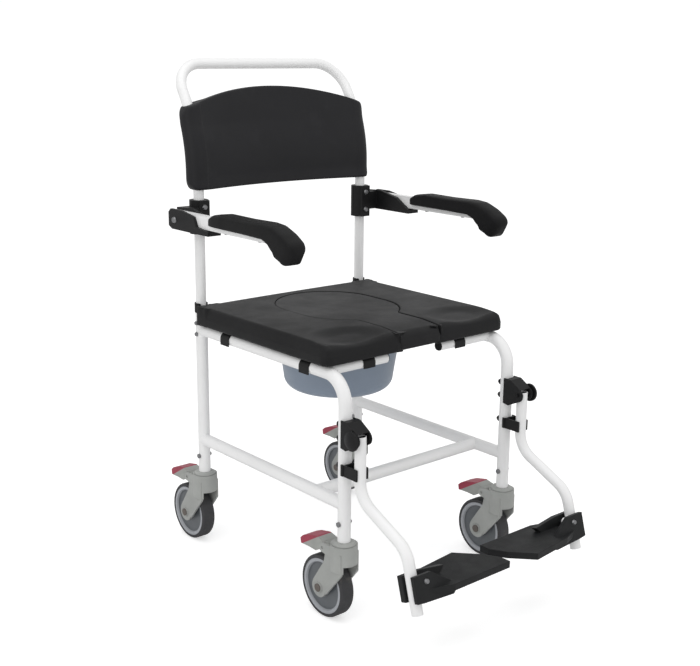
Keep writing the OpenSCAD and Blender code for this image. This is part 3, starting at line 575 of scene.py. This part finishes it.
def seat_side():
    """Right side of the pad's outline, from the front round the post's notch to the rear."""
    r = 0.016
    tip = 0.0068
    notch = arc(LEG_X, LEG_Y, NOTCH_R, -32.2, -147.8, 0.0035)
    side = tagged([(0.058, FRONT_Y), (HALF_W - r, FRONT_Y)], "front")
    side += tagged(arc(HALF_W - r, FRONT_Y + r, r, -90, 0), "corner")[1:]
    side += tagged([(HALF_W, FRONT_Y + r), (HALF_W, REAR_Y - 0.042)], "side")[1:]
    side += tagged([(HALF_W, REAR_Y - 0.042), (HALF_W, REAR_Y - 0.024)], "fade")[1:]
    side += tagged([(HALF_W, REAR_Y - 0.024), (HALF_W, REAR_Y - tip)], "tip")[1:]
    side += tagged(arc(HALF_W - tip, REAR_Y - tip, tip, 0, 90, 0.002), "tip", 0.003)[1:]
    side += tagged(notch, "tip", 0.0035)[1:]
    side += tagged([(LEG_X - 0.0127, REAR_Y), (LEG_X - 0.030, REAR_Y)], "fade")[1:]
    side += tagged([(LEG_X - 0.030, REAR_Y), (0.0, REAR_Y)], "side")[1:]
    return side


def seat_loop():
    hole = keyhole_half()
    left_hole = [(-x, y) for x, y in hole]
    right_side = seat_side()
    loop = right_side + [(-x, y, tag) for x, y, tag in reversed(right_side[:-1])]
    loop += [(-0.0566, FRONT_Y + 0.0007, "turn")]
    loop += tagged([(-0.056, FRONT_Y + 0.002)] + left_hole[1:], "hole", 0.004)
    right = tagged(hole, "hole", 0.004)
    right[0] = (0.056, FRONT_Y + 0.002, "hole")
    loop += list(reversed(right))[1:]
    loop += [(0.0566, FRONT_Y + 0.0007, "turn")]
    return loop


def rounded_profile(r_top, top, ledge=0.0, bottom=SEAT_BOTTOM, r_bottom=0.003, draft=0.0):
    """(inset, z) from the bottom rim to the top rim of a padded edge.

    A positive ledge sticks out below LEDGE_Z; draft leans the side inwards towards the top."""
    out = [(r_bottom * 1.8 - ledge, bottom)]
    for a in (0, 30, 60, 90):
        c, sn = math.cos(math.radians(a)), math.sin(math.radians(a))
        out.append((r_bottom * (1 - sn) - ledge, bottom + r_bottom * (1 - c)))
    out += [(-ledge, LEDGE_Z - 0.003), (-ledge, LEDGE_Z - 0.0006), (-ledge + min(0.0006, ledge), LEDGE_Z),
            (-0.0006 if ledge else 0.0, LEDGE_Z), (0.0, LEDGE_Z + 0.0006), (draft * 0.2, LEDGE_Z + 0.002)]
    z0 = top - r_top
    steps = 7
    out.append((draft * 0.5, (LEDGE_Z + 0.002 + z0) / 2))
    for i in range(steps + 1):
        a = math.pi / 2 * i / steps
        out.append((draft + r_top * (1 - math.cos(a)), z0 + r_top * math.sin(a)))
    out.append((draft + r_top * 1.15, top))
    return out


def thigh_dish(x, y):
    """Depth of the shallow thigh reliefs at the two front corners."""
    u = (abs(x) - 0.150) / 0.086
    v = (y + 0.156) / 0.060
    d = math.sqrt(u * u + v * v)
    return 0.0070 * (1 - smoothstep(d, 0.40, 1.0))


def front_fall(y):
    """The pad drops a little towards its front edge."""
    return 0.0050 * smoothstep(-y, 0.140, 0.212)


def seat_height(x, y, z):
    if z < SEAT_TOP - 0.022:
        return z
    share = smoothstep(z, SEAT_TOP - 0.022, SEAT_TOP)
    z -= (thigh_dish(x, y) + front_fall(y)) * share
    return z - 0.0012 * (x / HALF_W) ** 2 * share


def seat_pad():
    def profile(tag):
        if tag == "hole":
            return rounded_profile(0.0022, SEAT_TOP, ledge=0.010)
        if tag == "turn":
            return rounded_profile(0.006, SEAT_TOP)
        if tag == "front":
            return rounded_profile(0.016, SEAT_TOP, r_bottom=0.0050, draft=0.002)
        if tag == "corner":
            return rounded_profile(0.012, SEAT_TOP, r_bottom=0.0050, draft=0.003)
        if tag == "fade":
            return rounded_profile(0.005, SEAT_TOP, r_bottom=0.0030, draft=0.001)
        if tag == "tip":
            return rounded_profile(0.0018, SEAT_TOP, r_bottom=0.0010)
        return rounded_profile(0.010, SEAT_TOP, r_bottom=0.0050, draft=0.003)
    verts, faces = slab(seat_loop(), profile, seat_height, 0.0075)
    o = make("seat_cushion", verts, faces, MATS["seat"])
    puff(o, lambda co: 1.0 if co[2] < SEAT_TOP - 0.010 else 0.86, 0.0014, 3.0)
    register(o, "seat", "seat_pad")


def cover_loop():
    gap = 0.0011
    hole = keyhole_half()
    right = [(x, y, "hole") for x, y in resample(hole, 0.004)]
    loop = tagged([(-0.051, FRONT_Y), (0.051, FRONT_Y)], "front")
    loop += tagged(arc(0.051, FRONT_Y + 0.004, 0.004, -90, 0, 0.0015), "front")[1:]
    right = [p for p in right if p[1] > FRONT_Y + 0.007]
    loop += [(x - gap if y < 0.02 else x, y, t) for x, y, t in right]
    left = [(-x, y, t) for x, y, t in reversed(right)]
    loop += [(x + gap if y < 0.02 else x, y, t) for x, y, t in left[1:]]
    loop += tagged(arc(-0.051, FRONT_Y + 0.004, 0.004, 180, 270, 0.0015), "front")[:-1]
    return loop


def seat_cover():
    top = SEAT_TOP - 0.001

    def profile(tag):
        if tag == "front":
            return rounded_profile(0.017, top, bottom=0.5055, r_bottom=0.005, draft=0.002)
        shrink = 0.0009
        step = 0.0102
        p = rounded_profile(0.0028, top, bottom=0.5055)
        return [(a + shrink + (step if z <= LEDGE_Z - 0.0005 else 0.0), z) for a, z in p]

    def height(x, y, z):
        if z < SEAT_TOP - 0.022:
            return z
        share = smoothstep(z, SEAT_TOP - 0.022, top)
        return z + (0.0004 - 0.0008 * (x / 0.12) ** 2 - front_fall(y)) * share

    verts, faces = slab(cover_loop(), profile, height, 0.0075)
    o = make("seat_cover_pad", verts, faces, MATS["cover"])
    puff(o, lambda co: 1.0 if co[2] < SEAT_TOP - 0.010 else 0.86, 0.0012, 3.0)
    register(o, "cover", "seat_cover")


# ---------- backrest panel ----------

PANEL_X = 0.241
PANEL_Z0 = 0.785
PANEL_SIDE_Z = 0.950
PANEL_ARCH = 0.041
CREASE_X = 0.2035
END_Y = 0.0065  # the outline's ends, measured from the posts' centre line
POST_BEND_R = 0.290
POST_BEND = math.radians(33.6)
POST_KINK_Z = 0.906
PANEL_LEAN = math.radians(8.9)


def dished_front(x):
    return 0.0125 - 0.0285 * (min(abs(x), CREASE_X) / CREASE_X) ** 2


def panel_section():
    """The two halves of the panel's plan outline at one height, centred on the posts."""
    half = [(x, dished_front(x)) for x in np.linspace(0, CREASE_X, 29)]
    half += [(0.2045, -0.0168), (0.2075, -0.0182), (0.213, -0.0190), (0.219, -0.0188), (0.225, -0.0176)]
    half += [(0.2305, -0.0148), (0.2353, -0.0105), (0.2388, -0.0050), (0.2405, 0.0010), (0.2410, 0.0065)]
    half += [(0.2402, 0.0115), (0.2375, 0.0160), (0.2330, 0.0188), (0.2270, 0.0200), (0.2190, 0.0202)]
    half += [(0.2100, 0.0190), (0.2010, 0.0165), (0.1930, 0.0138)]
    for x in np.linspace(0.182, 0, 26):
        half.append((x, dished_front(x) + 0.0135 + 0.0015 * smoothstep(x, 0.15, 0.182)))
    return half, [(-x, y) for x, y in reversed(half)]


def post_line(z):
    """How far behind its foot the post's centre line is at a height."""
    up = z - POST_KINK_Z + POST_BEND_R * math.tan(POST_BEND / 2)
    bend_up = POST_BEND_R * math.sin(POST_BEND)
    if up <= 0:
        return 0.0
    if up < bend_up:
        return POST_BEND_R * (1 - math.cos(math.asin(up / POST_BEND_R)))
    return POST_BEND_R * (1 - math.cos(POST_BEND)) + (up - bend_up) * math.tan(POST_BEND)


def panel_lean(z):
    """The panel leans back a little more evenly than the posts inside it."""
    straight = (z - PANEL_Z0) * math.tan(PANEL_LEAN)
    return min(straight, post_line(z) + 0.0035) if z < 0.93 else straight


def backrest_panel():
    right, left = panel_section()
    section = right[:-1] + left[:-1]
    n = len(section)
    arch_r = (PANEL_X ** 2 + PANEL_ARCH ** 2) / (2 * PANEL_ARCH)
    # Middle surface under each outline point, so that the rims can close towards it.
    mid = []
    for x, _ in section:
        sleeve = smoothstep(abs(x), 0.19, 0.215)
        my = (dished_front(x) + 0.007) * (1 - sleeve) + 0.001 * sleeve
        mid.append((math.copysign(min(abs(x), PANEL_X - 0.016), x), my))
    rows = [(0.0, 0.55), (0.0004, 0.78), (0.0018, 0.92), (0.0042, 0.985), (0.0075, 1.0)]
    levels = [("bottom", d, s) for d, s in rows]
    inner = 22
    levels += [("body", k / inner, 1.0) for k in range(1, inner)]
    levels += [("top", d, s) for d, s in reversed(rows)]
    verts, faces = [], []
    for kind, d, s in levels:
        for i in range(n):
            x = mid[i][0] + (section[i][0] - mid[i][0]) * s
            y = mid[i][1] + (section[i][1] - mid[i][1]) * s
            a = abs(x)
            top = PANEL_SIDE_Z + PANEL_ARCH - arch_r + math.sqrt(arch_r ** 2 - min(a, PANEL_X) ** 2)
            # The upper and lower corners are rounded off.
            corner = 0.011 * smoothstep(a, PANEL_X - 0.012, PANEL_X) ** 1.6
            z_low = PANEL_Z0 + corner
            z_top = top - corner
            if kind == "bottom":
                z = z_low + d
            elif kind == "top":
                z = z_top - d
            else:
                z = z_low + 0.0075 + (z_top - z_low - 0.015) * d
            verts.append((x, y + LEG_Y + SHIFT + panel_lean(z), z))
    m = len(levels)
    for k in range(m - 1):
        for i in range(n):
            j = (i + 1) % n
            faces.append((k * n + i, k * n + j, (k + 1) * n + j, (k + 1) * n + i))
    # Rims: bridge the front row of points to the back row across the thickness.
    front, back = pairs(section)
    for base, flip in ((0, True), ((m - 1) * n, False)):
        for f0, b0, f1, b1 in zip(front, back, front[1:], back[1:]):
            quad = list(dict.fromkeys((base + f0, base + f1, base + b1, base + b0)))
            if len(quad) >= 3:
                faces.append(tuple(reversed(quad)) if flip else tuple(quad))
    o = make("backrest_shell", verts, faces, MATS["back"])
    puff(o, lambda co: 0.9, 0.0010, 2.0)
    subdivide(o)
    register(o, "frame", "backrest_panel")


def pairs(section):
    """Front and back outline points matched from the left end of the section to the right end."""
    n = len(section)
    left_end = min(range(n), key=lambda i: (section[i][0], abs(section[i][1] - END_Y)))
    right_end = max(range(n), key=lambda i: (section[i][0], -abs(section[i][1] - END_Y)))
    front, back = [left_end], [left_end]
    i = left_end
    while i != right_end:
        i = (i + 1) % n
        front.append(i)
    i = left_end
    while i != right_end:
        i = (i - 1) % n
        back.append(i)
    k = max(len(front), len(back))
    f = [front[round(j * (len(front) - 1) / (k - 1))] for j in range(k)]
    b = [back[round(j * (len(back) - 1) / (k - 1))] for j in range(k)]
    return f, b


# ---------- armrest pads ----------

def interp(table, t):
    for (a, *va), (b, *vb) in zip(table, table[1:]):
        if t <= b:
            w = (t - a) / (b - a)
            w = w * w * (3 - 2 * w)
            return [p + (q - p) * w for p, q in zip(va, vb)]
    return list(table[-1][1:])


# Along the arm: (distance, y, height of top, height of underside, half width)
ARM_STATIONS = [
    (0.00, 0.1060, 0.7400, 0.7330, 0.0120),
    (0.02, 0.1040, 0.7475, 0.7310, 0.0168),
    (0.10, 0.0900, 0.7545, 0.7305, 0.0195),
    (0.22, 0.0600, 0.7588, 0.7305, 0.0215),
    (0.45, -0.0100, 0.7578, 0.7305, 0.0228),
    (0.66, -0.0780, 0.7592, 0.7290, 0.0235),
    (0.76, -0.1000, 0.7572, 0.7200, 0.0235),
    (0.86, -0.1240, 0.7480, 0.7010, 0.0233),
    (0.94, -0.1450, 0.7360, 0.6870, 0.0224),
    (0.985, -0.1570, 0.7250, 0.6860, 0.0180),
    (1.00, -0.1610, 0.7150, 0.6950, 0.0100),
]


def arm_pad(side, s):
    rows = 46
    cols = 28
    verts, faces = [], []
    for k in range(rows + 1):
        t = k / rows
        y, zt, zb, hw = interp(ARM_STATIONS, t)
        # Finger bumps under the drooping nose.
        nose = smoothstep(t, 0.80, 0.84) * (1 - smoothstep(t, 0.95, 0.99))
        zb += 0.0022 * math.sin((t - 0.80) / 0.20 * math.pi * 4) * nose
        h = (zt - zb) / 2
        cz = (zt + zb) / 2
        for i in range(cols):
            a = 2 * math.pi * i / cols + math.pi / cols
            c, sn = math.cos(a), math.sin(a)
            e = 0.42 if sn > 0 else 0.30
            px = math.copysign(abs(c) ** e, c) * hw
            pz = math.copysign(abs(sn) ** e, sn) * h
            # A soft crown across the top and a slight hollow along each flank.
            if sn > 0:
                pz += 0.0016 * (1 - (px / hw) ** 2) - 0.0008
            px *= 1 - 0.05 * (1 - abs(sn)) * smoothstep(t, 0.1, 0.3)
            # Cross-sections turn with the droop.
            tilt = math.radians(30) * smoothstep(t, 0.70, 0.88)
            verts.append((s * (ARM_X + px), y + SHIFT - pz * math.sin(tilt), cz + pz * math.cos(tilt)))
    for k in range(rows):
        for i in range(cols):
            j = (i + 1) % cols
            faces.append((k * cols + i, k * cols + j, (k + 1) * cols + j, (k + 1) * cols + i))
    for k in (0, rows):
        base = k * cols
        c = np.mean([verts[base + i] for i in range(cols)], axis=0)
        verts.append(tuple(c))
        for i in range(cols):
            faces.append((base + i, base + (i + 1) % cols, len(verts) - 1))
    o = make("armrest_cushion_" + side, verts, faces, MATS["arm"])
    puff(o, lambda co: 0.8, 0.0007, 2.0)
    subdivide(o)
    register(o, "armrest_" + side, "armrest_pad_" + side)


seat_pad()
seat_cover()
backrest_panel()
for side, s in (("left", -1), ("right", 1)):
    arm_pad(side, s)


# ---------- floor, light and camera ----------

def lit(name, colour, rough, glow):
    """Matt surface with a glow only the camera sees, so that it runs into the backdrop."""
    m = Mat(name, colour, rough, spec=0.0)
    m.p.inputs["Emission Color"].default_value = (1, 1, 1, 1)
    ray = m.node("ShaderNodeLightPath")
    m.link(m.math("MULTIPLY", ray.outputs["Is Camera Ray"], glow), m.p.inputs["Emission Strength"])
    return m.done()


me = bpy.data.meshes.new("floor")
FLOOR_HALF = 60.0
around = ((-1, -1), (1, -1), (1, 1), (-1, 1))
me.from_pydata([(x * FLOOR_HALF, y * FLOOR_HALF, 0) for x, y in around], [], [(0, 1, 2, 3)])
floor = bpy.data.objects.new("floor", me)
floor.data.materials.append(lit("studio_floor", (0.84, 0.84, 0.84), 0.9, 0.52))
bpy.context.scene.collection.objects.link(floor)

world = bpy.data.worlds.new("studio")
world.use_nodes = True
sky = world.node_tree.nodes["Background"]
sky.inputs[0].default_value = (1, 1, 1, 1)
# The camera sees a white backdrop; the light that reaches the chair is weaker.
ray = world.node_tree.nodes.new("ShaderNodeLightPath")
strength = world.node_tree.nodes.new("ShaderNodeMapRange")
strength.inputs["To Min"].default_value = 0.72
strength.inputs["To Max"].default_value = 1.02
world.node_tree.links.new(ray.outputs["Is Camera Ray"], strength.inputs["Value"])
world.node_tree.links.new(strength.outputs[0], sky.inputs[1])
bpy.context.scene.world = world


def area(name, at, target, size, power):
    light = bpy.data.lights.new(name, "AREA")
    light.shape = "RECTANGLE"
    light.size, light.size_y = size
    light.energy = power
    o = bpy.data.objects.new(name, light)
    o.location = at
    o.rotation_euler = (Vector(target) - Vector(at)).to_track_quat("-Z", "Y").to_euler()
    bpy.context.scene.collection.objects.link(o)


MIDDLE = (0, 0, 0.55)
area("key_top", (-0.4, -0.3, 3.0), MIDDLE, (2.4, 2.4), 17)
area("fill_left", (-3.0, -0.6, 1.5), MIDDLE, (1.8, 2.2), 11)
area("fill_front", (0.8, -3.2, 1.6), MIDDLE, (2.0, 2.0), 6)

scene = bpy.context.scene
scene.view_settings.view_transform = "Standard"
scene.view_settings.look = "None"

azimuth = math.radians(-40.54)
down = math.radians(14.09)
roll = math.radians(0.58)
level = math.cos(down)
fwd = Vector((-math.sin(azimuth) * level, math.cos(azimuth) * level, -math.sin(down)))
right = fwd.cross(Vector((0, 0, 1))).normalized()
up = right.cross(fwd)
cam_x = right * math.cos(roll) + up * math.sin(roll)
cam_y = -right * math.sin(roll) + up * math.cos(roll)
rot = Matrix((cam_x, cam_y, -fwd)).transposed()
CAMERA_AT = (-1.5030, -1.7483 + SHIFT, 1.0717)
cam = bpy.data.cameras.new("camera")
cam.lens = 58.37
cam.sensor_width = 36
camera = bpy.data.objects.new("camera", cam)
camera.matrix_world = Matrix.Translation(CAMERA_AT) @ rot.to_4x4()
bpy.context.scene.collection.objects.link(camera)
scene.camera = camera
